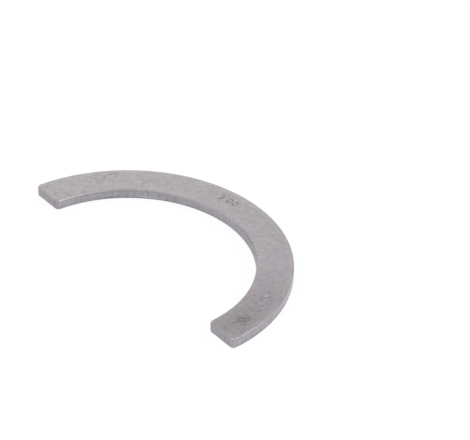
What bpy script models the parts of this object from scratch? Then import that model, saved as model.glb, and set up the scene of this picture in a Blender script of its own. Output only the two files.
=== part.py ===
"""Half-ring shim: a flat steel spacer blanked from sheet, one half of a split ring.

Two such halves are laid round a shaft, with their end faces towards each other. The ring lies
flat: +Z is up through its thickness, +Y points to the crown of the arc and the open side faces
-Y. The origin is the middle of the ring's box, at the height of its lower face.
"""

import math

import bmesh
import bpy
from mathutils import Vector

# Driving dimensions, in metres
BORE_DIAMETER = 0.068
RING_WIDTH = 0.010
THICKNESS = 0.003
PARTING_GAP = 0.0013
CORNER_RADIUS = 0.0012
UPPER_EDGE_RADIUS = 0.0004
LOWER_EDGE_RADIUS = 0.0003

# Fineness of the round stretches
ARC_STEP_DEG = 1.5
CORNER_STEPS = 6
EDGE_STEPS = 3

# Finish: bright tumbled steel, as linear colour
STEEL_COLOUR = (0.43, 0.42, 0.43, 1.0)
STEEL_METALLIC = 1.0
STEEL_ROUGHNESS = 0.42

COLLECTION_NAME = "half_ring_shim"
RING_NAME = "half_ring"

# Sizes that follow from the driving dimensions
BORE_RADIUS = BORE_DIAMETER / 2
OUTER_RADIUS = BORE_RADIUS + RING_WIDTH
END_FACE_OFFSET = PARTING_GAP / 2
ARC_CENTRE = Vector((0.0, -(OUTER_RADIUS + END_FACE_OFFSET) / 2))


def clear_scene():
    for thing in list(bpy.data.objects):
        bpy.data.objects.remove(thing, do_unlink=True)


def new_collection(name):
    collection = bpy.data.collections.new(name)
    bpy.context.scene.collection.children.link(collection)
    return collection


def steel_material():
    material = bpy.data.materials.new("tumbled_steel")
    material.use_nodes = True
    shader = material.node_tree.nodes["Principled BSDF"]
    shader.inputs["Base Color"].default_value = STEEL_COLOUR
    shader.inputs["Metallic"].default_value = STEEL_METALLIC
    shader.inputs["Roughness"].default_value = STEEL_ROUGHNESS
    return material


def arc(centre, radius, start, end, steps):
    """Points from the angle start to the angle end, both included."""
    angles = [start + (end - start) * i / steps for i in range(steps + 1)]
    return [centre + radius * Vector((math.cos(a), math.sin(a))) for a in angles]


def right_half_outline():
    """The ring's right half in plan, from the crown outside to the crown inside.

    The two corner rounds of the end face touch it and the arc that they run into, so their
    centres follow from the ring's radii.
    """
    corner_height = END_FACE_OFFSET + CORNER_RADIUS
    outer_reach = OUTER_RADIUS - CORNER_RADIUS
    inner_reach = BORE_RADIUS + CORNER_RADIUS
    outer_angle = math.asin(corner_height / outer_reach)
    inner_angle = math.asin(corner_height / inner_reach)
    outer_corner = ARC_CENTRE + Vector((math.sqrt(outer_reach**2 - corner_height**2), corner_height))
    inner_corner = ARC_CENTRE + Vector((math.sqrt(inner_reach**2 - corner_height**2), corner_height))

    crown = math.pi / 2
    outer_steps = math.ceil(math.degrees(crown - outer_angle) / ARC_STEP_DEG)
    inner_steps = math.ceil(math.degrees(crown - inner_angle) / ARC_STEP_DEG)
    return (
        arc(ARC_CENTRE, OUTER_RADIUS, crown, outer_angle, outer_steps)
        + arc(outer_corner, CORNER_RADIUS, outer_angle, -crown, CORNER_STEPS)[1:]
        + arc(inner_corner, CORNER_RADIUS, -crown, inner_angle - math.pi, CORNER_STEPS)
        + arc(ARC_CENTRE, BORE_RADIUS, inner_angle, crown, inner_steps)[1:]
    )


def ring_outline():
    """The closed outline of the whole half ring, mirrored about the crown."""
    right = right_half_outline()
    left = [Vector((-p.x, p.y)) for p in reversed(right[1:-1])]
    return right + left


def plate_from_outline(name, outline, thickness):
    """A flat curve, filled and extruded, which stands on Z = 0."""
    curve = bpy.data.curves.new(name + "_outline", "CURVE")
    curve.dimensions = "2D"
    curve.fill_mode = "BOTH"
    curve.extrude = thickness / 2
    spline = curve.splines.new("POLY")
    spline.points.add(len(outline) - 1)
    for point, place in zip(spline.points, outline):
        point.co = (place.x, place.y, 0.0, 1.0)
    spline.use_cyclic_u = True
    plate = bpy.data.objects.new(name + "_outline", curve)
    plate.location.z = thickness / 2
    return plate


def mesh_from_curve(curve_object, name, collection):
    """The curve as a welded mesh, with one face on each flat side."""
    collection.objects.link(curve_object)
    bpy.context.view_layer.update()
    evaluated = curve_object.evaluated_get(bpy.context.evaluated_depsgraph_get())
    mesh = bpy.data.meshes.new_from_object(evaluated)
    mesh.name = name

    bm = bmesh.new()
    bm.from_mesh(mesh)
    bmesh.ops.remove_doubles(bm, verts=bm.verts, dist=1e-6)
    for side in (1, -1):
        flat = [face for face in bm.faces if face.normal.z * side > 0.5]
        bmesh.ops.dissolve_faces(bm, faces=flat)
    bmesh.ops.recalc_face_normals(bm, faces=bm.faces)
    bm.to_mesh(mesh)
    bm.free()

    solid = bpy.data.objects.new(name, mesh)
    solid.matrix_world = curve_object.matrix_world
    collection.objects.link(solid)
    bpy.data.objects.remove(curve_object, do_unlink=True)
    return solid


def round_the_edges(solid, upper_radius, lower_radius, steps):
    """One Bevel, in which an edge's weight is its share of the larger radius."""
    mesh = solid.data
    largest = max(upper_radius, lower_radius)
    weights = mesh.attributes.new("bevel_weight_edge", "FLOAT", "EDGE")
    for edge, weight in zip(mesh.edges, weights.data):
        heights = [mesh.vertices[v].co.z for v in edge.vertices]
        if min(heights) > 0:
            weight.value = upper_radius / largest
        elif max(heights) < 0:
            weight.value = lower_radius / largest

    bevel = solid.modifiers.new("rounded_edges", "BEVEL")
    bevel.limit_method = "WEIGHT"
    bevel.width = largest
    bevel.segments = steps


def shade_round(solid):
    """Smooth arcs and rounded edges, with the flat faces kept flat."""
    solid.data.shade_smooth()
    solid.data.set_sharp_from_angle(angle=math.radians(40))


def half_ring(collection):
    plate = plate_from_outline(RING_NAME, ring_outline(), THICKNESS)
    ring = mesh_from_curve(plate, RING_NAME, collection)
    round_the_edges(ring, UPPER_EDGE_RADIUS, LOWER_EDGE_RADIUS, EDGE_STEPS)
    shade_round(ring)
    ring.data.materials.append(steel_material())
    return ring


def main():
    clear_scene()
    collection = new_collection(COLLECTION_NAME)
    half_ring(collection)


main()
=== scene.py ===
"""Looks of a half-ring shim: one flat half ring of tumbled steel, lying on a pale floor."""

import math
from functools import partial

import bpy
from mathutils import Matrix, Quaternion, Vector


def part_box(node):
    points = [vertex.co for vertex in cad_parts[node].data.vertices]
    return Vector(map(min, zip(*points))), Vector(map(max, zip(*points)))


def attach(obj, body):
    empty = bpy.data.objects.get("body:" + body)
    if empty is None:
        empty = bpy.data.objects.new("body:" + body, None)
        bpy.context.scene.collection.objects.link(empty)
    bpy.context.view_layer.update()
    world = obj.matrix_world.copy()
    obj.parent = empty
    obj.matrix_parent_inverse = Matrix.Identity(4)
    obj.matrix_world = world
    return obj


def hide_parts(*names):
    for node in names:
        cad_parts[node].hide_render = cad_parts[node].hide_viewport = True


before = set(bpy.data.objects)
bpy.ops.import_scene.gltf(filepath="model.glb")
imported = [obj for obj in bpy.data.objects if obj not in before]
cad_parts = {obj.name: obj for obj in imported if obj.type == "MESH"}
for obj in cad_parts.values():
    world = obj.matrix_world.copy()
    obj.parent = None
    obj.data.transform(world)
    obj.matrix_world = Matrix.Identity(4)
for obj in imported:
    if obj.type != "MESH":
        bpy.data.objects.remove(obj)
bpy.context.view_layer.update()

MM = 0.001

# Drawing sizes of the half ring, in metres; its thickness and its reach come from the frame
RING_WIDTH = 10 * MM
PARTING_GAP = 1.3 * MM
CORNER_RADIUS = 1.2 * MM
UPPER_EDGE_RADIUS = 0.4 * MM
LOWER_EDGE_RADIUS = 0.3 * MM

LOW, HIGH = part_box("half_ring")
THICKNESS = HIGH.z - LOW.z
END_FACE_OFFSET = PARTING_GAP / 2
OUTER_RADIUS = HIGH.y - LOW.y + END_FACE_OFFSET
MIDDLE_RADIUS = OUTER_RADIUS - RING_WIDTH / 2
BORE_RADIUS = OUTER_RADIUS - RING_WIDTH
ARC_CENTRE = Vector((0.0, HIGH.y - OUTER_RADIUS, 0.0))

# Strip inside the outline that the edge rounds run into
RIM = 1.0 * MM

# Height of the upper face in mm, the unit that the finish's marks are placed in
TOP = THICKNESS / MM

# Fineness of the mesh, and the angle from which an edge is sharp. Points closer than the two
# gaps are merged: where the ring's parts meet, and where something is struck into it
OUTLINE_POINTS = 1560
EDGE_STEPS = 8
SHARP_ANGLE = math.radians(40.0)
SEAM_GAP = 0.001 * MM
STRUCK_GAP = 0.01 * MM

# Further wear of the edges: where other parts struck them, and towards the two ends
EDGE_WEAR = 0.06 * MM
BLOWS_PER_METRE = 450.0
BLOWS_SEED = 3.0
END_WEAR = 0.22 * MM
END_WEAR_REACH = 2.5 * MM

# Stamped thickness, 3.00: its line on the band and its strokes
NUMBER_ANGLE = math.radians(103.5)
NUMBER_RADIUS = 39.8 * MM
NUMBER_HEIGHT = 2.0 * MM
NUMBER_PITCH = 1.9 * MM
STROKE_RADIUS = 0.28 * MM
STROKE_DEPTH = 0.17 * MM

# Direction that the strip was ground in, from the X axis, and depth of the finish's relief
GRINDING_ANGLE = math.radians(50.0)
RELIEF_DEPTH = 0.04 * MM

# Camera, at the photograph's angle
CAMERA_AZIMUTH = math.radians(50.685)
CAMERA_ELEVATION = math.radians(34.222)
CAMERA_ROLL = math.radians(1.879)
CAMERA_DISTANCE = 0.6563
CAMERA_TARGET = Vector((-1.650 * MM, 15.123 * MM, 0.0))
CAMERA_LENS_MM = 183.23
CAMERA_SENSOR_MM = 36.0

# Floor: a little below the ring; this share of it shows white, and the rest takes the shadow
FLOOR_SIZE = 4.0
FLOOR_GAP = 0.1 * MM
WHITE_SHARE = 0.92
WHITE_STRENGTH = 1.015

# Light: an even sky and three softboxes, all at one height and distance. Each softbox has its
# angle to the right of the camera, in degrees, and its power in watts
SKY_STRENGTH = 0.8
SOFTBOX_WIDTH = 1.0
SOFTBOX_HEIGHT = 0.6
SOFTBOX_DISTANCE = 0.8
SOFTBOX_ELEVATION = 30.0
SOFTBOXES = (
    ("right_softbox", 68.0, 2.0),
    ("back_left_softbox", 208.0, 0.6),
    ("left_softbox", 300.0, 0.35),
)


def add_node(tree, kind, inputs=(), **settings):
    """Adds a node, with its settings, and gives its inputs their values or links.

    The inputs come in order, or by name in a dictionary. A node stands for its first output,
    and a list for several links to one input.
    """
    node = tree.nodes.new(kind)
    for name, value in settings.items():
        setattr(node, name, value)
    pairs = inputs.items() if isinstance(inputs, dict) else enumerate(inputs)
    for key, value in pairs:
        for part in value if isinstance(value, list) else [value]:
            source = part.outputs[0] if isinstance(part, bpy.types.Node) else part
            if isinstance(source, bpy.types.NodeSocket):
                tree.links.new(source, node.inputs[key])
            else:
                node.inputs[key].default_value = source
    return node


def linear(hex_colour):
    """An sRGB colour such as B4AFB1 as the linear RGBA that the shaders take."""
    channels = [int(hex_colour[i : i + 2], 16) / 255 for i in (0, 2, 4)]
    lit = [c / 12.92 if c <= 0.04045 else ((c + 0.055) / 1.055) ** 2.4 for c in channels]
    return (*lit, 1.0)


# Shape of the half ring


def outline_curve(add, given):
    """The ring's closed outline in plan, anticlockwise from the crown outside.

    Its right half is five stretches, end to end: the outer arc, a corner round, the end face,
    the other corner round and the inner arc. Points are spread evenly along it and back, and
    those of the left half are mirrored.
    """
    quarter = math.pi / 2
    end = given["End Face Offset"]
    corner = given["Corner Radius"]
    outer = given["Outer Radius"]
    inner = add("ShaderNodeMath", [outer, given["Ring Width"]], operation="SUBTRACT")
    corner_y = add("ShaderNodeMath", [end, corner], operation="ADD")
    outer_reach = add("ShaderNodeMath", [outer, corner], operation="SUBTRACT")
    inner_reach = add("ShaderNodeMath", [inner, corner], operation="ADD")

    # A corner round touches the end face and its arc, which gives its centre
    corners = []
    for reach in (outer_reach, inner_reach):
        sine = add("ShaderNodeMath", [corner_y, reach], operation="DIVIDE")
        angle = add("ShaderNodeMath", [sine], operation="ARCSINE")
        cosine = add("ShaderNodeMath", [angle], operation="COSINE")
        x = add("ShaderNodeMath", [reach, cosine], operation="MULTIPLY")
        corners.append((angle, x, add("ShaderNodeCombineXYZ", [x, corner_y])))
    (outer_angle, outer_x, outer_corner), (inner_angle, inner_x, inner_corner) = corners
    outer_sweep = add("ShaderNodeMath", [outer_angle, quarter], operation="SUBTRACT")
    outer_turn = add("ShaderNodeMath", [-quarter, outer_angle], operation="SUBTRACT")
    inner_turn = add("ShaderNodeMath", [inner_angle, quarter], operation="SUBTRACT")
    inner_sweep = add("ShaderNodeMath", [quarter, inner_angle], operation="SUBTRACT")

    stretches = []
    for radius, start, sweep, centre, steps in (
        (outer, quarter, outer_sweep, (0.0, 0.0, 0.0), 512),
        (corner, outer_angle, outer_turn, outer_corner, 64),
        (corner, -quarter, inner_turn, inner_corner, 64),
        (inner, inner_angle, inner_sweep, (0.0, 0.0, 0.0), 512),
    ):
        values = {"Resolution": steps, "Radius": radius, "Start Angle": start, "Sweep Angle": sweep}
        arc = add("GeometryNodeCurveArc", values, mode="RADIUS")
        stretches.append(add("GeometryNodeTransform", {"Geometry": arc, "Translation": centre}))
    ends = [add("ShaderNodeCombineXYZ", [x, end]) for x in (outer_x, inner_x)]
    stretches.insert(2, add("GeometryNodeCurvePrimitiveLine", ends))
    # A join takes its last link first
    path = add("GeometryNodeJoinGeometry", [stretches[::-1]])

    count = given["Outline Points"]
    share = add("ShaderNodeMath", [add("GeometryNodeInputIndex"), count], operation="DIVIDE")
    there_and_back = add("ShaderNodeMath", [share, 0.5], operation="PINGPONG")
    factor = add("ShaderNodeMath", [there_and_back, 2.0], operation="MULTIPLY")
    on_path = add(
        "GeometryNodeSampleCurve",
        {"Curves": path, "Factor": factor},
        mode="FACTOR",
        use_all_curves=True,
    )
    right_side = add("ShaderNodeMath", [share, 0.5], operation="GREATER_THAN")
    side = add("ShaderNodeMapRange", {"Value": right_side, "To Min": -1.0, "To Max": 1.0})
    mirror = add("ShaderNodeCombineXYZ", [side, 1.0, 1.0])
    position = add("ShaderNodeVectorMath", [on_path.outputs["Position"], mirror], operation="MULTIPLY")
    loop = add("GeometryNodeCurvePrimitiveCircle", {"Resolution": count}, mode="RADIUS")
    outline = add("GeometryNodeSetPosition", {"Geometry": loop, "Position": position})
    return add("GeometryNodeSetCurveNormal", {"Curve": outline}, mode="Z_UP")


def edge_section(add, given, half):
    """The section through the ring's edge, from the upper face over the wall to the lower face.

    Its flat ends reach in by the rim, so that the big faces keep a plain normal. Y points down
    where it is swept.
    """
    minus_half = add("ShaderNodeMath", [half, -1.0], operation="MULTIPLY")
    minus_rim = add("ShaderNodeMath", [given["Rim"], -1.0], operation="MULTIPLY")
    points = [
        add("ShaderNodeCombineXYZ", place)
        for place in ((minus_rim, minus_half), (0.0, minus_half), (0.0, half), (minus_rim, half))
    ]
    names = ("Point 1", "Point 2", "Point 3", "Point 4")
    section = add("GeometryNodeCurvePrimitiveQuadrilateral", dict(zip(names, points)), mode="POINTS")
    section = add("GeometryNodeSetSplineCyclic", {"Geometry": section, "Cyclic": False})
    upper = add(
        "FunctionNodeCompare",
        {2: add("GeometryNodeInputIndex"), 3: 1},
        data_type="INT",
        operation="EQUAL",
    )
    radius = add(
        "GeometryNodeSwitch",
        [upper, given["Lower Edge Radius"], given["Upper Edge Radius"]],
        input_type="FLOAT",
    )
    values = {"Curve": section, "Count": given["Edge Steps"], "Radius": radius}
    return add("GeometryNodeFilletCurve", values, mode="POLY")


def worn_edges(add, given, sides, half):
    """Wears the edges further: most at the two ends, and here and there where parts struck."""
    radius = given["Upper Edge Radius"]
    position = add("GeometryNodeInputPosition")
    y, z = add("ShaderNodeSeparateXYZ", [position]).outputs[1:]

    # Wear is deepest partway up the round, and leaves the wall and the flat face as they are
    height = add("ShaderNodeMath", [z], operation="ABSOLUTE")
    round_foot = add("ShaderNodeMath", [half, radius], operation="SUBTRACT")
    above_foot = add("ShaderNodeMath", [height, round_foot], operation="SUBTRACT")
    rise = add("ShaderNodeMath", [above_foot, radius], operation="DIVIDE", use_clamp=True)
    normal = add("GeometryNodeInputNormal")
    up = add("ShaderNodeSeparateXYZ", [normal]).outputs["Z"]
    lean = add("ShaderNodeMath", [up], operation="ABSOLUTE")
    side_on = add("ShaderNodeMath", [1.0, lean], operation="SUBTRACT", use_clamp=True)
    weight = add("ShaderNodeMath", [rise, side_on], operation="MULTIPLY")

    blows = add(
        "ShaderNodeTexNoise",
        {"Vector": position, "W": given["Seed"], "Scale": given["Blows per Metre"], "Detail": 2.0},
        noise_dimensions="4D",
    )
    strength = add("ShaderNodeMapRange", {"Value": blows, "From Min": 0.45, "From Max": 0.75})
    struck = add("ShaderNodeMath", [strength, given["Edge Wear"]], operation="MULTIPLY")
    from_end = add("ShaderNodeMath", [y, given["End Face Offset"]], operation="SUBTRACT")
    near_end = add(
        "ShaderNodeMapRange",
        {"Value": from_end, "From Max": given["End Wear Reach"], "To Min": 1.0, "To Max": 0.0},
        interpolation_type="SMOOTHSTEP",
    )
    depth = add("ShaderNodeMath", [near_end, given["End Wear"], struck], operation="MULTIPLY_ADD")
    depth = add("ShaderNodeMath", [depth, weight], operation="MULTIPLY")
    inwards = add("ShaderNodeMath", [depth, -1.0], operation="MULTIPLY")
    offset = add("ShaderNodeVectorMath", {0: normal, "Scale": inwards}, operation="SCALE")
    return add("GeometryNodeSetPosition", {"Geometry": sides, "Offset": offset})


def flat_faces(add, given, outline, half):
    """The upper and the lower face, in triangles, which start where the rim ends."""
    minus_rim = add("ShaderNodeMath", [given["Rim"], -1.0], operation="MULTIPLY")
    inwards = add(
        "ShaderNodeVectorMath",
        {0: add("GeometryNodeInputNormal"), "Scale": minus_rim},
        operation="SCALE",
    )
    rim = add("GeometryNodeSetPosition", {"Geometry": outline, "Offset": inwards})
    upper = add("GeometryNodeFillCurve", {"Curve": rim}, mode="TRIANGLES")
    lower = add("GeometryNodeFlipFaces", {"Mesh": upper})
    faces = []
    for face, side in ((upper, 1.0), (lower, -1.0)):
        z = add("ShaderNodeMath", [half, side], operation="MULTIPLY")
        lift = add("ShaderNodeCombineXYZ", [0.0, 0.0, z])
        faces.append(add("GeometryNodeTransform", {"Geometry": face, "Translation": lift}))
    return faces


def figures(add, height):
    """Centre lines of the figures 3 and 0, each about its own middle."""
    bow_radius = add("ShaderNodeMath", [height, 0.25], operation="MULTIPLY")
    bows = []
    for start, side in ((150.0, 1.0), (90.0, -1.0)):
        values = {
            "Resolution": 20,
            "Radius": bow_radius,
            "Start Angle": math.radians(start),
            "Sweep Angle": math.radians(-240.0),
        }
        bow = add("GeometryNodeCurveArc", values, mode="RADIUS")
        y = add("ShaderNodeMath", [bow_radius, side], operation="MULTIPLY")
        lift = add("ShaderNodeCombineXYZ", [0.0, y, 0.0])
        bows.append(add("GeometryNodeTransform", {"Geometry": bow, "Translation": lift}))
    three = add("GeometryNodeJoinGeometry", [bows])

    radius = add("ShaderNodeMath", [height, 0.5], operation="MULTIPLY")
    values = {"Resolution": 40, "Radius": radius}
    circle = add("GeometryNodeCurvePrimitiveCircle", values, mode="RADIUS")
    nought = add("GeometryNodeTransform", {"Geometry": circle, "Scale": (0.55, 1.0, 1.0)})
    return three, nought


def number_strokes(add, given):
    """Round-bottomed strokes of 3.00, laid flat: reading to +X, with their tops to +Y.

    Each figure is struck by hand with its own punch, so it stands a little out of line.
    """
    height = given["Number Height"]
    stroke = given["Stroke Radius"]
    tip = add("GeometryNodeCurvePrimitiveCircle", {"Resolution": 12, "Radius": stroke}, mode="RADIUS")
    three, nought = [
        add("GeometryNodeCurveToMesh", {"Curve": figure, "Profile Curve": tip, "Fill Caps": True})
        for figure in figures(add, height)
    ]
    point = add("GeometryNodeMeshIcoSphere", {"Radius": stroke, "Subdivisions": 3})
    low = add("ShaderNodeMath", [height, -0.45], operation="MULTIPLY")
    point_place = add("ShaderNodeCombineXYZ", [0.0, low, 0.0])
    point = add("GeometryNodeTransform", {"Geometry": point, "Translation": point_place})

    # Place along the line in pitches, place across it in heights, and turn in degrees
    strokes = []
    for figure, column, y, turn in (
        (three, 0.0, 0.0, 3.0),
        (point, 0.8, 0.0, 0.0),
        (nought, 1.6, -0.04, -4.0),
        (nought, 2.6, 0.05, 2.0),
    ):
        x = add("ShaderNodeMath", [given["Number Pitch"], column], operation="MULTIPLY")
        y = add("ShaderNodeMath", [height, y], operation="MULTIPLY")
        place = add("ShaderNodeCombineXYZ", [x, y, 0.0])
        values = {"Geometry": figure, "Translation": place, "Rotation": (0.0, 0.0, math.radians(turn))}
        strokes.append(add("GeometryNodeTransform", values))
    return add("GeometryNodeJoinGeometry", [strokes])


def bent_number(add, given, strokes, half):
    """The number's strokes bent onto the band and sunk into its upper face."""
    x, y, z = add("ShaderNodeSeparateXYZ", [add("GeometryNodeInputPosition")]).outputs
    turn = add("ShaderNodeMath", [x, given["Number Radius"]], operation="DIVIDE")
    angle = add("ShaderNodeMath", [given["Number Angle"], turn], operation="SUBTRACT")
    radius = add("ShaderNodeMath", [given["Number Radius"], y], operation="ADD")
    sine = add("ShaderNodeMath", [angle], operation="SINE")
    cosine = add("ShaderNodeMath", [angle], operation="COSINE")
    bent_x = add("ShaderNodeMath", [radius, cosine], operation="MULTIPLY")
    bent_y = add("ShaderNodeMath", [radius, sine], operation="MULTIPLY")
    lift = add("ShaderNodeMath", [given["Stroke Radius"], given["Stroke Depth"]], operation="SUBTRACT")
    lift = add("ShaderNodeMath", [lift, half], operation="ADD")
    bent_z = add("ShaderNodeMath", [lift, z], operation="ADD")
    bent = add("ShaderNodeCombineXYZ", [bent_x, bent_y, bent_z])
    return add("GeometryNodeSetPosition", {"Geometry": strokes, "Position": bent})


def dents(add, half):
    """Cutters for small dents and for one nick in the outer edge: ovals, partly sunk in the face.

    Each one has its angle and its radius on the ring, its half lengths along its own axes, its
    turn from the radius and its depth, in degrees and mm.
    """
    cutters = []
    for angle, radius, axes, turn, depth in (
        (64.4, 44.0, (3.2, 0.14, 0.42), 0.0, 0.18),
        (29.1, 40.1, (0.80, 0.26, 0.30), 39.0, 0.08),
        (26.7, 38.7, (0.70, 0.24, 0.30), -14.0, 0.07),
        (24.0, 38.3, (0.50, 0.24, 0.30), 63.0, 0.06),
        (23.1, 40.2, (0.45, 0.22, 0.30), 13.0, 0.06),
        (143.7, 34.9, (0.30, 0.26, 0.30), 0.0, 0.06),
    ):
        theta = math.radians(angle)
        plan = Vector((math.cos(theta), math.sin(theta), 0.0)) * radius * MM
        lift = add("ShaderNodeMath", [half, (axes[2] - depth) * MM], operation="ADD")
        values = {
            "Geometry": add("GeometryNodeMeshIcoSphere", {"Radius": MM, "Subdivisions": 4}),
            "Translation": add("ShaderNodeCombineXYZ", [plan.x, plan.y, lift]),
            "Rotation": (0.0, 0.0, theta + math.radians(turn)),
            "Scale": axes,
        }
        cutters.append(add("GeometryNodeTransform", values))
    return add("GeometryNodeJoinGeometry", [cutters])


def ring_tree():
    """Geometry nodes of the half ring, about its arc's centre, at half its thickness."""
    tree = bpy.data.node_groups.new("half_ring", "GeometryNodeTree")
    sizes = (
        "Outer Radius",
        "Ring Width",
        "Thickness",
        "End Face Offset",
        "Corner Radius",
        "Upper Edge Radius",
        "Lower Edge Radius",
        "Rim",
        "Edge Wear",
        "Blows per Metre",
        "Seed",
        "End Wear",
        "End Wear Reach",
        "Number Angle",
        "Number Radius",
        "Number Height",
        "Number Pitch",
        "Stroke Radius",
        "Stroke Depth",
    )
    for name in sizes:
        tree.interface.new_socket(name, in_out="INPUT", socket_type="NodeSocketFloat")
    tree.interface.new_socket("Outline Points", in_out="INPUT", socket_type="NodeSocketInt")
    tree.interface.new_socket("Edge Steps", in_out="INPUT", socket_type="NodeSocketInt")
    tree.interface.new_socket("Material", in_out="INPUT", socket_type="NodeSocketMaterial")
    tree.interface.new_socket("Geometry", in_out="OUTPUT", socket_type="NodeSocketGeometry")
    add = partial(add_node, tree)
    given = add("NodeGroupInput").outputs

    half = add("ShaderNodeMath", [given["Thickness"], 0.5], operation="MULTIPLY")
    outline = outline_curve(add, given)
    values = {"Curve": outline, "Profile Curve": edge_section(add, given, half), "Fill Caps": False}
    sides = worn_edges(add, given, add("GeometryNodeCurveToMesh", values), half)
    plate = add("GeometryNodeJoinGeometry", [[sides] + flat_faces(add, given, outline, half)])
    plate = add("GeometryNodeMergeByDistance", {"Geometry": plate, "Distance": SEAM_GAP})

    number = bent_number(add, given, number_strokes(add, given), half)
    values = {"Mesh 1": plate, "Mesh 2": [number, dents(add, half)], "Self Intersection": True}
    struck = add("GeometryNodeMeshBoolean", values, operation="DIFFERENCE", solver="EXACT")
    whole = add("GeometryNodeMergeByDistance", {"Geometry": struck, "Distance": STRUCK_GAP})
    whole = add("GeometryNodeRealizeInstances", {"Geometry": whole})
    whole = add("GeometryNodeSetMaterial", {"Geometry": whole, "Material": given["Material"]})
    add("NodeGroupOutput", [whole])
    return tree


def mesh_from_tree(name, tree, values):
    """Runs a tree on an empty object and keeps the result as a plain mesh."""
    holder = bpy.data.objects.new(name, bpy.data.meshes.new(name))
    bpy.context.scene.collection.objects.link(holder)
    modifier = holder.modifiers.new(tree.name, "NODES")
    modifier.node_group = tree
    for socket in tree.interface.items_tree:
        if socket.in_out == "INPUT":
            modifier[socket.identifier] = values[socket.name]
    bpy.context.view_layer.update()
    evaluated = holder.evaluated_get(bpy.context.evaluated_depsgraph_get())
    mesh = bpy.data.meshes.new_from_object(evaluated)
    holder.modifiers.remove(modifier)
    holder.data = mesh
    return holder


def half_ring(material):
    """The ring as one plain mesh at its place in the frame, with its finish and its shading."""
    values = {
        "Outer Radius": OUTER_RADIUS,
        "Ring Width": RING_WIDTH,
        "Thickness": THICKNESS,
        "End Face Offset": END_FACE_OFFSET,
        "Corner Radius": CORNER_RADIUS,
        "Upper Edge Radius": UPPER_EDGE_RADIUS,
        "Lower Edge Radius": LOWER_EDGE_RADIUS,
        "Rim": RIM,
        "Edge Wear": EDGE_WEAR,
        "Blows per Metre": BLOWS_PER_METRE,
        "Seed": BLOWS_SEED,
        "End Wear": END_WEAR,
        "End Wear Reach": END_WEAR_REACH,
        "Number Angle": NUMBER_ANGLE,
        "Number Radius": NUMBER_RADIUS,
        "Number Height": NUMBER_HEIGHT,
        "Number Pitch": NUMBER_PITCH,
        "Stroke Radius": STROKE_RADIUS,
        "Stroke Depth": STROKE_DEPTH,
        "Outline Points": OUTLINE_POINTS,
        "Edge Steps": EDGE_STEPS,
        "Material": material,
    }
    ring = mesh_from_tree("ring_plate", ring_tree(), values)
    middle = ARC_CENTRE + Vector((0.0, 0.0, (LOW.z + HIGH.z) / 2))
    for vertex in ring.data.vertices:
        vertex.co += middle
    shade(ring.data)
    return ring


def shade(mesh):
    """Smooth rounds and rims; the big faces stay flat, so that no dent's slope spreads over them."""
    mesh.set_sharp_from_angle(angle=SHARP_ANGLE)
    for face in mesh.polygons:
        if abs(face.normal.z) > 0.99999:
            middle = face.center
            radius = (middle - ARC_CENTRE).xy.length
            off_edge = min(radius - BORE_RADIUS, OUTER_RADIUS - radius, middle.y - LOW.y)
            face.use_smooth = off_edge < 0.9 * RIM


# Finish. A mark's place is its angle in degrees, from 0 at the right end over 90 at the crown to
# 180 at the left end, and its radius and its height on the ring in mm


def place_on_band(add):
    """The place on the ring in mm: along its middle line, out from the arc's centre, and up.

    The second result is the same place straight, with X in the direction that the strip was
    ground in.
    """
    here = add("ShaderNodeTexCoord").outputs["Object"]
    here = add("ShaderNodeVectorMath", [here, ARC_CENTRE], operation="SUBTRACT")
    here = add("ShaderNodeVectorMath", {0: here, "Scale": 1 / MM}, operation="SCALE")
    x, y, z = add("ShaderNodeSeparateXYZ", [here]).outputs
    flat = add("ShaderNodeCombineXYZ", [x, y])
    radius = add("ShaderNodeVectorMath", [flat], operation="LENGTH").outputs["Value"]
    angle = add("ShaderNodeMath", [y, x], operation="ARCTAN2")
    along = add("ShaderNodeMath", [angle, MIDDLE_RADIUS / MM], operation="MULTIPLY")
    turned = {"Vector": here, "Angle": -GRINDING_ANGLE}
    straight = add("ShaderNodeVectorRotate", turned, rotation_type="Z_AXIS")
    return add("ShaderNodeCombineXYZ", [along, radius, z]), straight


def patterns(add, place, straight):
    """Noises, each with the size of its features in mm, and the place with three kinds of waver.

    Ceramic media leave a grain of about 0.15 mm, and blanking and grinding leave lines about
    0.1 mm wide. They are drawn 0.45 mm, 0.7 mm and 0.8 mm wide, so that they show.
    """
    noises = {}
    for name, source, size, detail, seed, stretch in (
        ("cloud", place, 9.0, 2.0, 1.0, (1.0, 1.0, 1.0)),
        ("mottle", place, 1.1, 5.0, 2.0, (1.0, 1.0, 1.0)),
        ("grain", place, 0.45, 3.0, 3.0, (1.0, 1.0, 1.0)),
        ("drawn", place, 0.7, 3.0, 4.0, (1.0, 1.0, 0.16)),
        ("speckle", place, 0.6, 2.0, 5.0, (1.0, 1.0, 1.0)),
        ("ground", straight, 0.8, 2.0, 6.0, (0.45, 1.0, 1.0)),
        ("waver", place, 2.5, 2.0, 7.0, (1.0, 1.0, 1.0)),
    ):
        stretched = add("ShaderNodeVectorMath", [source, stretch], operation="MULTIPLY")
        noises[name] = add(
            "ShaderNodeTexNoise",
            {"Vector": stretched, "W": seed, "Scale": 1.0 / size, "Detail": detail},
            noise_dimensions="4D",
        )
    wavered = []
    for name, shift in (("waver", 3.0), ("grain", 1.0), ("grain", 0.3)):
        offset = [noises[name].outputs["Color"], (0.5, 0.5, 0.5)]
        offset = add("ShaderNodeVectorMath", offset, operation="SUBTRACT")
        offset = add("ShaderNodeVectorMath", [offset, (shift, shift, 0.0)], operation="MULTIPLY")
        wavered.append(add("ShaderNodeVectorMath", [place, offset], operation="ADD"))
    return noises, *wavered


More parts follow.
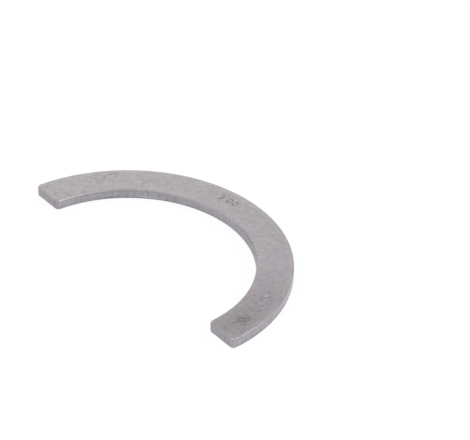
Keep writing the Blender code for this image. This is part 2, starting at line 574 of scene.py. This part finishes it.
def soft_spot(add, place, angle, radius, height, reach, core=0.2, turn=0.0):
    """A mask, 1 in the core of an oval spot and 0 past its reach, which is in mm each way.

    A turn, in degrees, leads its first reach away from the band's direction and outwards.
    """
    middle = (math.radians(angle) * MIDDLE_RADIUS / MM, radius, height)
    from_middle = add("ShaderNodeVectorMath", [place, middle], operation="SUBTRACT")
    turned = {"Vector": from_middle, "Angle": math.radians(-turn)}
    turned = add("ShaderNodeVectorRotate", turned, rotation_type="Z_AXIS")
    in_reaches = add("ShaderNodeVectorMath", [turned, reach], operation="DIVIDE")
    distance = add("ShaderNodeVectorMath", [in_reaches], operation="LENGTH").outputs["Value"]
    inside = [distance, core, 1.0, 1.0, 0.0]
    return add("ShaderNodeMapRange", inside, interpolation_type="SMOOTHSTEP")


def soft_spots(add, rows):
    """Layers of soft spots, from rows of their measures with their strength and their colour."""
    layers = []
    for place, angle, radius, height, reach, core, strength, colour in rows:
        mask = soft_spot(add, place, angle, radius, height, reach, core)
        layers.append((mask, strength, colour))
    return layers


def single_scratches(add, place, scratches):
    """A mask of straight scratches: angle, radius, half length in mm, turn and strength of each.

    Real ones are about 0.1 mm wide. They are drawn 0.4 mm wide, so that they show.
    """
    mask = 0.0
    for angle, radius, half_length, turn, strength in scratches:
        reach = (half_length, 0.2, 0.4)
        scratch = soft_spot(add, place, angle, radius, TOP, reach, core=0.25, turn=turn)
        scratch = add("ShaderNodeMath", [scratch, strength], operation="MULTIPLY")
        mask = add("ShaderNodeMath", [scratch, mask], operation="MAXIMUM")
    return mask


def scratch_lines(add, place, turns, length, spacing):
    """A mask of short straight scratches, of varied strength, one layer for each turn in degrees."""
    lines = 0.0
    for layer, turn in enumerate(turns):
        turned = {"Vector": place, "Angle": math.radians(turn)}
        turned = add("ShaderNodeVectorRotate", turned, rotation_type="Z_AXIS")
        cells = [turned, (1 / length, 1 / spacing, 0.0), (0.0, 0.0, float(layer))]
        cells = add("ShaderNodeVectorMath", cells, operation="MULTIPLY_ADD")
        cells = add("ShaderNodeTexVoronoi", {"Vector": cells, "Scale": 1.0})
        line = add("ShaderNodeMapRange", [cells, 0.14, 0.36, 1.0, 0.0])
        strength = add("ShaderNodeSeparateXYZ", [cells.outputs["Color"]]).outputs["X"]
        line = add("ShaderNodeMath", [line, strength], operation="MULTIPLY")
        lines = add("ShaderNodeMath", [line, lines], operation="MAXIMUM")
    return lines


def curved_scratch(add, place, angle, radius, bow):
    """A mask of one thin scratch, part of a circle, from towards the left end round to outwards."""
    middle = (math.radians(angle) * MIDDLE_RADIUS / MM, radius, TOP)
    from_middle = add("ShaderNodeVectorMath", [place, middle], operation="SUBTRACT")
    distance = add("ShaderNodeVectorMath", [from_middle], operation="LENGTH").outputs["Value"]
    off_line = add("ShaderNodeMath", [distance, bow], operation="SUBTRACT")
    off_line = add("ShaderNodeMath", [off_line], operation="ABSOLUTE")
    line = add("ShaderNodeMapRange", [off_line, 0.05, 0.25, 1.0, 0.0])
    along, outwards = add("ShaderNodeSeparateXYZ", [from_middle]).outputs[:2]
    for side, start in ((along, -0.3), (outwards, -1.8)):
        kept = add("ShaderNodeMapRange", [side, start, start + 0.8])
        line = add("ShaderNodeMath", [line, kept], operation="MULTIPLY")
    return line


def ring_zones(add, place):
    """Height, radius, distance from the end and from the outline, in mm, and masks of zones."""
    along, radius, height = add("ShaderNodeSeparateXYZ", [place]).outputs
    crown = math.pi / 2 * MIDDLE_RADIUS / MM
    off_crown = add("ShaderNodeMath", [along, crown], operation="SUBTRACT")
    off_crown = add("ShaderNodeMath", [off_crown], operation="ABSOLUTE")
    end = crown - END_FACE_OFFSET / MM
    from_end = add("ShaderNodeMath", [end, off_crown], operation="SUBTRACT")
    off_middle = add("ShaderNodeMath", [radius, MIDDLE_RADIUS / MM], operation="SUBTRACT")
    off_middle = add("ShaderNodeMath", [off_middle], operation="ABSOLUTE")
    from_arc = add("ShaderNodeMath", [RING_WIDTH / MM / 2, off_middle], operation="SUBTRACT")
    from_outline = add("ShaderNodeMath", [from_arc, from_end], operation="MINIMUM")

    # Walls, which fade into the upper face
    wall_top = add("ShaderNodeMapRange", [height, TOP - 1.0, TOP, 1.0, 0.0])
    wall_foot = add("ShaderNodeMapRange", [height, 0.02, 0.2])
    wall = add("ShaderNodeMath", [wall_top, wall_foot], operation="MULTIPLY")

    # Upper edge rounds
    edge_foot = add("ShaderNodeMapRange", [height, TOP - 0.45, TOP - 0.15])
    edge_top = add("ShaderNodeMapRange", [height, TOP - 0.08, TOP - 0.005, 1.0, 0.0])
    edge = add("ShaderNodeMath", [edge_foot, edge_top], operation="MULTIPLY")

    # What is sunk into the upper face, inside the rim
    sunk = add("ShaderNodeMapRange", [height, TOP - 0.005, TOP - 0.07])
    inland = add("ShaderNodeMapRange", [from_outline, RIM / MM - 0.1, RIM / MM + 0.1])
    on_face = add("ShaderNodeMapRange", [height, TOP - 0.4, TOP - 0.05])
    sunk = add("ShaderNodeMath", [sunk, inland], operation="MULTIPLY")
    sunk = add("ShaderNodeMath", [sunk, on_face], operation="MULTIPLY")
    return {
        "wall": wall,
        "edge": edge,
        "sunk": sunk,
        "height": height,
        "radius": radius,
        "from end": from_end,
        "from outline": from_outline,
    }


def bare_metal(add, zones, noises):
    """Colour of the steel without marks: the faces, the wall of the bore and the outer wall.

    A colour mix takes its share at 0 and its two colours at 6 and 7, and gives its result at 2.
    """
    cool = add("ShaderNodeMapRange", [noises["cloud"], 0.35, 0.65])
    drawn = add("ShaderNodeMapRange", [noises["drawn"], 0.3, 0.7])
    tones = []
    for share, one, other in (
        (cool, "B5B1B1", "B5AFB3"),
        (drawn, "98959C", "AEAAB1"),
        (drawn, "A4A2A8", "B3B0B7"),
    ):
        mix = {0: share, 6: linear(one), 7: linear(other)}
        tones.append(add("ShaderNodeMix", mix, data_type="RGBA").outputs[2])
    face, bore_wall, outer_wall = tones
    # The outer wall takes the lighter of the two wall colours: painted light on it
    outer = OUTER_RADIUS / MM
    outside = add("ShaderNodeMapRange", [zones["radius"], outer - 1.2, outer - 0.6])
    mix = {0: outside, 6: bore_wall, 7: outer_wall}
    walls = add("ShaderNodeMix", mix, data_type="RGBA").outputs[2]
    mix = {0: zones["wall"], 6: face, 7: walls}
    colour = add("ShaderNodeMix", mix, data_type="RGBA").outputs[2]
    for name, darkest, lightest in (("mottle", 0.93, 1.07), ("grain", 0.9, 1.1), ("ground", 0.95, 1.05)):
        brightness = add("ShaderNodeMapRange", [noises[name], 0.25, 0.75, darkest, lightest])
        colour = add("ShaderNodeVectorMath", {0: colour, "Scale": brightness}, operation="SCALE")
    return colour


def pits(add, place):
    """A mask of small pits, in cells of 1.4 mm, of which half hold one."""
    cells = add("ShaderNodeTexVoronoi", {"Vector": place, "Scale": 1.0 / 1.4})
    size = add("ShaderNodeSeparateXYZ", [cells.outputs["Color"]]).outputs["X"]
    reach = add("ShaderNodeMapRange", [size, 0.5, 1.0, 0.0, 0.24])
    inside = add("ShaderNodeMath", [reach, cells.outputs["Distance"]], operation="SUBTRACT")
    return add("ShaderNodeMapRange", [inside, 0.0, 0.1])


def scratched_patches(add, place, wavy):
    """Masks of three patches in which fine scratches crowd: a smudge, a scuff and hair marks.

    The scratches lie along the band and cross in two directions. Real ones are about 0.05 mm
    wide, and they are drawn 0.2 mm wide, so that they show.
    """
    lengthwise = scratch_lines(add, place, (4, -12, 20), 2.4, 0.36)
    crosswise = scratch_lines(add, place, (42, -50), 1.6, 0.36)
    scratches = add("ShaderNodeMath", [lengthwise, crosswise], operation="MAXIMUM")
    smudge = soft_spot(add, place, 11.5, 39.6, TOP, (7.0, 4.4, 1.0), core=0.1)
    smeared = add("ShaderNodeMath", [crosswise, 0.5, lengthwise], operation="MULTIPLY_ADD")
    smudge = add("ShaderNodeMath", [smudge, smeared], operation="MULTIPLY", use_clamp=True)
    scuff = soft_spot(add, wavy, 26.0, 39.6, TOP, (7.0, 3.2, 1.0), core=0.5)
    scuff = add("ShaderNodeMath", [scuff, scratches], operation="MULTIPLY")
    hair_marks = soft_spot(add, wavy, 152.5, 40.8, TOP, (6.5, 3.8, 1.0), core=0.5)
    hair_marks = add("ShaderNodeMath", [hair_marks, scratches], operation="MULTIPLY")
    return smudge, scuff, hair_marks


def hair_scratches(add, place):
    """The scratches near the left end that show one by one, and the nick's faint line."""
    return single_scratches(add, place, (
        (155.5, 43.0, 0.8, -38, 0.6),
        (156.8, 40.4, 0.6, 64, 0.6),
        (155.4, 39.2, 0.9, 24, 0.7),
        (156.0, 38.0, 1.1, -16, 0.5),
        (153.2, 40.8, 0.8, -74, 0.6),
        (152.5, 41.4, 0.7, -17, 0.5),
        (150.7, 41.8, 1.0, -14, 0.6),
        (148.2, 42.1, 0.9, 1, 0.7),
        (153.9, 39.7, 0.6, 42, 0.5),
        (64.3, 42.7, 1.3, 90, 0.2),
    ))


def gouges(add, place):
    """The dark strokes of the scuff near the right end, some of them over a dent."""
    return single_scratches(add, place, (
        (29.1, 40.1, 1.3, 51, 0.6),
        (26.7, 38.7, 1.1, -76, 0.5),
        (24.0, 38.3, 0.8, 27, 0.6),
        (23.1, 40.2, 0.7, 77, 0.5),
        (31.9, 39.6, 0.9, -25, 0.3),
        (28.2, 36.3, 0.7, -28, 0.3),
        (19.7, 40.9, 1.0, 71, 0.5),
        (18.4, 38.8, 1.2, 78, 0.25),
    ))


def burrs(add, place):
    """The bright strokes of the scuff, where metal was pushed up."""
    return single_scratches(add, place, (
        (29.7, 39.4, 1.1, 34, 0.7),
        (27.2, 39.8, 0.7, 48, 0.6),
        (27.4, 38.5, 0.7, -75, 0.3),
        (33.8, 38.5, 0.7, 54, 0.3),
    ))


def rubs(add, place):
    """The dark strokes of the smudge at the right end."""
    return single_scratches(add, place, (
        (11.1, 38.6, 1.0, 12, 0.7),
        (12.6, 39.1, 1.3, 49, 0.8),
        (13.9, 39.8, 1.0, 19, 0.6),
        (11.1, 39.9, 1.6, 38, 0.7),
        (11.6, 40.1, 1.6, -46, 0.7),
        (12.8, 40.9, 1.0, 11, 0.5),
        (9.5, 41.0, 1.2, 22, 0.7),
        (8.2, 38.7, 1.3, 30, 0.6),
        (14.9, 38.6, 0.9, 38, 0.5),
        (14.0, 42.3, 0.7, 26, 0.4),
        (3.4, 39.1, 0.8, 32, 0.3),
        (3.8, 40.7, 1.2, 51, 0.3),
        (9.5, 43.0, 0.9, 20, 0.4),
    ))


def films(add, place, wavy, zones):
    """Thin films that tint the upper face: mask, strength and tint of each."""
    # Oil over the right end, thinner towards the crown and along the rim; it also holds painted shade,
    # darker towards the right end
    oil_and_shade = soft_spot(add, place, 0.0, 39.0, TOP, (42.0, 60.0, 0.9), core=0.16)
    clear_of_rim = add("ShaderNodeMapRange", [zones["from outline"], 0.2, 1.6, 0.75, 1.0])
    oil_and_shade = add("ShaderNodeMath", [oil_and_shade, clear_of_rim], operation="MULTIPLY")
    return [(oil_and_shade, 1.0, "E6E5E7")] + soft_spots(add, (
        # A lilac cast, right of the crown
        (place, 62.0, 39.0, TOP, (34.0, 60.0, 0.9), 0.4, 0.7, "FBF9FE"),
        # Faint olive casts, from the right end to left of the crown
        (place, 7.0, 39.5, TOP, (9.5, 9.0, 1.0), 0.5, 1.0, "FDFFFB"),
        (place, 75.0, 42.0, TOP, (11.0, 4.0, 1.0), 0.4, 1.0, "FCFFFA"),
        (place, 102.0, 42.0, TOP, (3.5, 2.2, 1.0), 0.4, 1.0, "FBFFF9"),
        (place, 118.0, 39.5, TOP, (13.0, 8.0, 1.0), 0.5, 1.0, "FDFFFC"),
        # Tan and yellow stains
        (wavy, 108.5, 38.8, TOP, (2.4, 4.0, 1.0), 0.2, 0.25, "F7EFD2"),
        (wavy, 15.5, 42.4, TOP, (3.0, 1.6, 1.0), 0.2, 0.15, "FFF8CE"),
    ))


def wall_marks(add, place, wavy, zones, rubbed_and_sheen):
    """Marks on the walls and edges, most of them painted shade and painted light: mask, strength and
    colour of each.
    """
    # Painted shade along the walls' foot, which stops short of the end faces
    low = add("ShaderNodeMapRange", [zones["height"], 0.2, 1.2, 1.0, 0.0])
    off_end = add("ShaderNodeMapRange", [zones["from end"], 0.3, 2.0])
    foot_shade = add("ShaderNodeMath", [low, off_end], operation="MULTIPLY")
    # The upper edges take a lighter tint: rubbed wear and a painted highlight
    return [(foot_shade, 0.42, "85828A"), (rubbed_and_sheen, 0.32, "C6C3C9")] + soft_spots(add, (
        # Bore: painted shade below its upper edge and a painted highlight on it, towards the left end
        (place, 150.0, 34.0, 2.45, (32.0, 1.2, 0.45), 0.2, 0.35, "84818B"),
        (place, 125.0, 34.4, TOP, (20.0, 0.9, 0.35), 0.2, 0.4, "C6C2C6"),
        # Outer wall near the right end: painted shade on its foot and on its upper edge
        (place, 36.0, 44.0, 0.1, (18.0, 1.5, 0.8), 0.2, 0.5, "8A8790"),
        (place, 33.0, 44.0, 2.9, (8.0, 0.8, 0.4), 0.2, 0.3, "95929A"),
        # Painted light on the feet of the bore at the crown and of the left end face
        (place, 84.0, 34.0, 0.4, (12.0, 1.5, 0.6), 0.2, 0.3, "B8B5BC"),
        (place, 180.0, 39.0, 0.8, (1.4, 8.0, 1.6), 0.2, 0.3, "B8B6BC"),
        # Painted light on patches of the bore and of the outer wall
        (wavy, 174.0, 34.0, 1.7, (5.0, 1.2, 1.6), 0.2, 0.5, "B6B2B6"),
        (wavy, 107.0, 34.0, 2.5, (6.0, 1.2, 1.0), 0.2, 0.5, "B6B3B9"),
        (wavy, 41.0, 44.0, 1.9, (13.0, 1.0, 2.4), 0.2, 0.55, "C4C2CA"),
        # Painted shade low on the bore, left of the crown
        (wavy, 151.0, 34.0, 0.5, (6.0, 1.5, 0.6), 0.2, 0.35, "7C7983"),
        # Tear line along the bore's foot, dark with a bright line above it
        (place, 140.0, 34.0, 0.3, (9.0, 1.5, 0.3), 0.2, 0.4, "5F5C66"),
        (place, 135.0, 34.0, 0.75, (6.5, 1.5, 0.35), 0.2, 0.5, "C9C6CC"),
        # Painted shade on the bore's upper edge, right of the crown
        (place, 68.0, 33.95, 2.95, (18.0, 0.6, 0.6), 0.3, 0.5, "74717A"),
        # Painted highlights on the corners of the left and the right end
        (place, 175.5, 34.05, 2.85, (2.8, 0.5, 0.3), 0.2, 0.12, "D6D3D8"),
        (place, 1.2, 43.4, 2.9, (0.9, 0.6, 0.4), 0.2, 0.45, "EEECF0"),
    ))


def face_marks(add, place, wavy, rough, patches, pit, sunk):
    """Marks on the upper face: mask, strength and colour of each."""
    smudge, scuff, hair_marks = patches
    lighter_and_darker_rims = (
        (place, 110.0, 43.1, TOP, (75.0, 1.0, 0.5), 0.2, 0.35, "C2BEC0"),
        (place, 14.0, 43.35, TOP, (13.0, 0.6, 0.4), 0.2, 0.14, "D0CED0"),
        (place, 86.0, 35.9, TOP, (14.0, 1.8, 0.5), 0.2, 0.07, "D6D3D6"),
        (place, 142.0, 42.9, TOP, (8.0, 1.0, 0.4), 0.2, 0.1, "DADCCF"),
        (place, 172.5, 34.9, TOP, (4.5, 1.4, 0.6), 0.2, 0.1, "8A8786"),
    )
    return [
        *soft_spots(add, lighter_and_darker_rims),
        (hair_marks, 0.35, "6A6660"),
        (hair_scratches(add, rough), 0.75, "5E5A56"),
        (curved_scratch(add, place, 133.7, 36.1, 2.8), 0.4, "75716F"),
        (scuff, 0.3, "66626A"),
        (gouges(add, rough), 1.0, "5C5860"),
        (burrs(add, rough), 0.85, "DEDBDE"),
        (soft_spot(add, wavy, 11.8, 39.8, TOP, (3.2, 2.2, 1.0), core=0.0), 0.3, "5F5B56"),
        (smudge, 0.5, "524D48"),
        (rubs(add, rough), 0.7, "524D48"),
        (pit, 0.4, "726D6A"),
        (sunk, 0.6, "66625F"),
    ]


def specks(add, place):
    """Specks and small stains on the upper face: mask, strength and colour of each."""
    marks = []
    for angle, radius, reach, strength, colour in (
        (176.2, 37.6, 0.55, 0.5, "776857"),
        (176.5, 41.8, 0.5, 0.3, "776857"),
        (164.9, 42.9, 0.5, 0.35, "776857"),
        (156.9, 38.8, 0.5, 0.4, "6F6B68"),
        (137.8, 39.2, 0.5, 0.4, "6F6B68"),
        (39.9, 35.5, 0.4, 0.35, "6F6B68"),
        (171.9, 35.6, 1.2, 0.2, "93977F"),
        (164.5, 34.9, 1.3, 0.2, "93977F"),
        (136.9, 43.0, 1.2, 0.2, "9A9C86"),
        (118.2, 43.2, 1.6, 0.3, "9A9C86"),
        (133.6, 35.3, 0.5, 0.5, "DAD7DB"),
        (131.9, 35.6, 0.45, 0.45, "DAD7DB"),
        (126.1, 36.5, 0.45, 0.45, "DAD7DB"),
    ):
        spot = soft_spot(add, place, angle, radius, TOP, (reach, reach, 0.4), core=0.5)
        marks.append((spot, strength, colour))
    return marks


def laid_over(add, colour, layers, blend):
    """The colour with layers on it, one after the other."""
    for mask, strength, tint in layers:
        share = add("ShaderNodeMath", [mask, strength], operation="MULTIPLY")
        mix = {0: share, 6: colour, 7: linear(tint)}
        colour = add("ShaderNodeMix", mix, data_type="RGBA", blend_type=blend).outputs[2]
    return colour


def tumbled_steel():
    """Low-carbon strip, ground, blanked and tumbled in ceramic media.

    The media leave a matt grey: mottled, finely pitted, and brighter on the edges that they rub
    most, which also carry a painted highlight. The blanked walls stay darker and bluer, with marks
    drawn in the direction of the cut.
    Handling has left oil film, smears and fine scratches on the upper face; the film also holds
    painted shade, darker towards the right end.
    """
    material = bpy.data.materials.new("tumbled_steel")
    material.use_nodes = True
    material.node_tree.nodes.clear()
    add = partial(add_node, material.node_tree)
    place, straight = place_on_band(add)
    noises, wavy, ragged, rough = patterns(add, place, straight)
    zones = ring_zones(add, place)
    pit = pits(add, ragged)
    patches = scratched_patches(add, place, wavy)

    # Edges that the media rub bright, with a painted highlight along them, more in some places than in
    # others
    varied = add("ShaderNodeMapRange", [noises["speckle"], 0.35, 0.6, 0.3, 1.0])
    rubbed_and_sheen = add("ShaderNodeMath", [varied, zones["edge"]], operation="MULTIPLY")

    # A film tints what is below it, and a mark covers it
    colour = bare_metal(add, zones, noises)
    colour = laid_over(add, colour, films(add, place, wavy, zones), "MULTIPLY")
    colour = laid_over(add, colour, wall_marks(add, place, wavy, zones, rubbed_and_sheen), "MIX")
    marks = face_marks(add, place, wavy, rough, patches, pit, zones["sunk"])
    colour = laid_over(add, colour, marks + specks(add, ragged), "MIX")

    drawn_relief = add("ShaderNodeMath", [noises["drawn"], zones["wall"]], operation="MULTIPLY")
    relief = noises["mottle"]
    heights = [(noises["grain"], 0.5), (drawn_relief, 2.0), (pit, -0.8)]
    for source, height in heights + [(patch, -0.5) for patch in patches]:
        relief = add("ShaderNodeMath", [source, height, relief], operation="MULTIPLY_ADD")
    bump = add("ShaderNodeBump", {"Height": relief, "Distance": RELIEF_DEPTH})
    roughness = add("ShaderNodeMapRange", [noises["mottle"], 0.3, 0.7, 0.5, 0.4])
    roughness = add("ShaderNodeMath", [rubbed_and_sheen, -0.08, roughness], operation="MULTIPLY_ADD")
    finish = {"Base Color": colour, "Metallic": 1.0, "Roughness": roughness, "Normal": bump}
    add("ShaderNodeOutputMaterial", [add("ShaderNodeBsdfPrincipled", finish)])
    return material


# Studio


def white_floor():
    """A plain white sheet that shows white to the camera and keeps the ring's soft shadow."""
    bpy.ops.mesh.primitive_plane_add(size=FLOOR_SIZE, location=(0.0, 0.0, LOW.z - FLOOR_GAP))
    floor = bpy.context.object
    floor.name = "floor"
    material = bpy.data.materials.new("white_paper")
    material.use_nodes = True
    material.node_tree.nodes.clear()
    add = partial(add_node, material.node_tree)
    rays = add("ShaderNodeLightPath").outputs
    seen = add("ShaderNodeMath", [rays["Is Camera Ray"], rays["Is Glossy Ray"]], operation="MAXIMUM")
    seen = add("ShaderNodeMath", [seen, rays["Is Transmission Ray"]], operation="MAXIMUM")
    share = add("ShaderNodeMath", [seen, WHITE_SHARE], operation="MULTIPLY")
    paper = add("ShaderNodeBsdfDiffuse", {"Color": linear("F2F2F2")})
    white = add("ShaderNodeEmission", {"Color": linear("FFFFFF"), "Strength": WHITE_STRENGTH})
    add("ShaderNodeOutputMaterial", [add("ShaderNodeMixShader", [share, paper, white])])
    floor.data.materials.append(material)


def from_camera(azimuth, elevation, distance):
    """A place round the ring, by its angle to the right of the camera and its height, in degrees."""
    turn = CAMERA_AZIMUTH + math.radians(azimuth)
    rise = math.radians(elevation)
    flat = Vector((math.sin(turn), -math.cos(turn), 0.0)) * math.cos(rise)
    return (flat + Vector((0.0, 0.0, math.sin(rise)))) * distance


def softbox(name, azimuth, power):
    data = bpy.data.lights.new(name, "AREA")
    data.shape = "RECTANGLE"
    data.size = SOFTBOX_WIDTH
    data.size_y = SOFTBOX_HEIGHT
    data.energy = power
    lamp = bpy.data.objects.new(name, data)
    lamp.location = from_camera(azimuth, SOFTBOX_ELEVATION, SOFTBOX_DISTANCE)
    lamp.rotation_euler = (-lamp.location).to_track_quat("-Z", "Y").to_euler()
    bpy.context.scene.collection.objects.link(lamp)


def lights():
    world = bpy.data.worlds.new("studio")
    world.use_nodes = True
    background = world.node_tree.nodes["Background"]
    background.inputs["Color"].default_value = linear("FFFFFF")
    background.inputs["Strength"].default_value = SKY_STRENGTH
    bpy.context.scene.world = world
    for name, azimuth, power in SOFTBOXES:
        softbox(name, azimuth, power)


def camera():
    data = bpy.data.cameras.new("camera")
    data.lens = CAMERA_LENS_MM
    data.sensor_width = CAMERA_SENSOR_MM
    data.clip_start = 0.01
    eye = bpy.data.objects.new("camera", data)
    back = from_camera(0.0, math.degrees(CAMERA_ELEVATION), 1.0)
    eye.location = CAMERA_TARGET + back * CAMERA_DISTANCE
    eye.rotation_mode = "QUATERNION"
    level = (-back).to_track_quat("-Z", "Y")
    eye.rotation_quaternion = level @ Quaternion((0.0, 0.0, 1.0), CAMERA_ROLL)
    bpy.context.scene.collection.objects.link(eye)
    bpy.context.scene.camera = eye


camera()
lights()
white_floor()
ring = half_ring(tumbled_steel())
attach(ring, "root")
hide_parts("half_ring")

bpy.context.scene.view_settings.view_transform = "Standard"
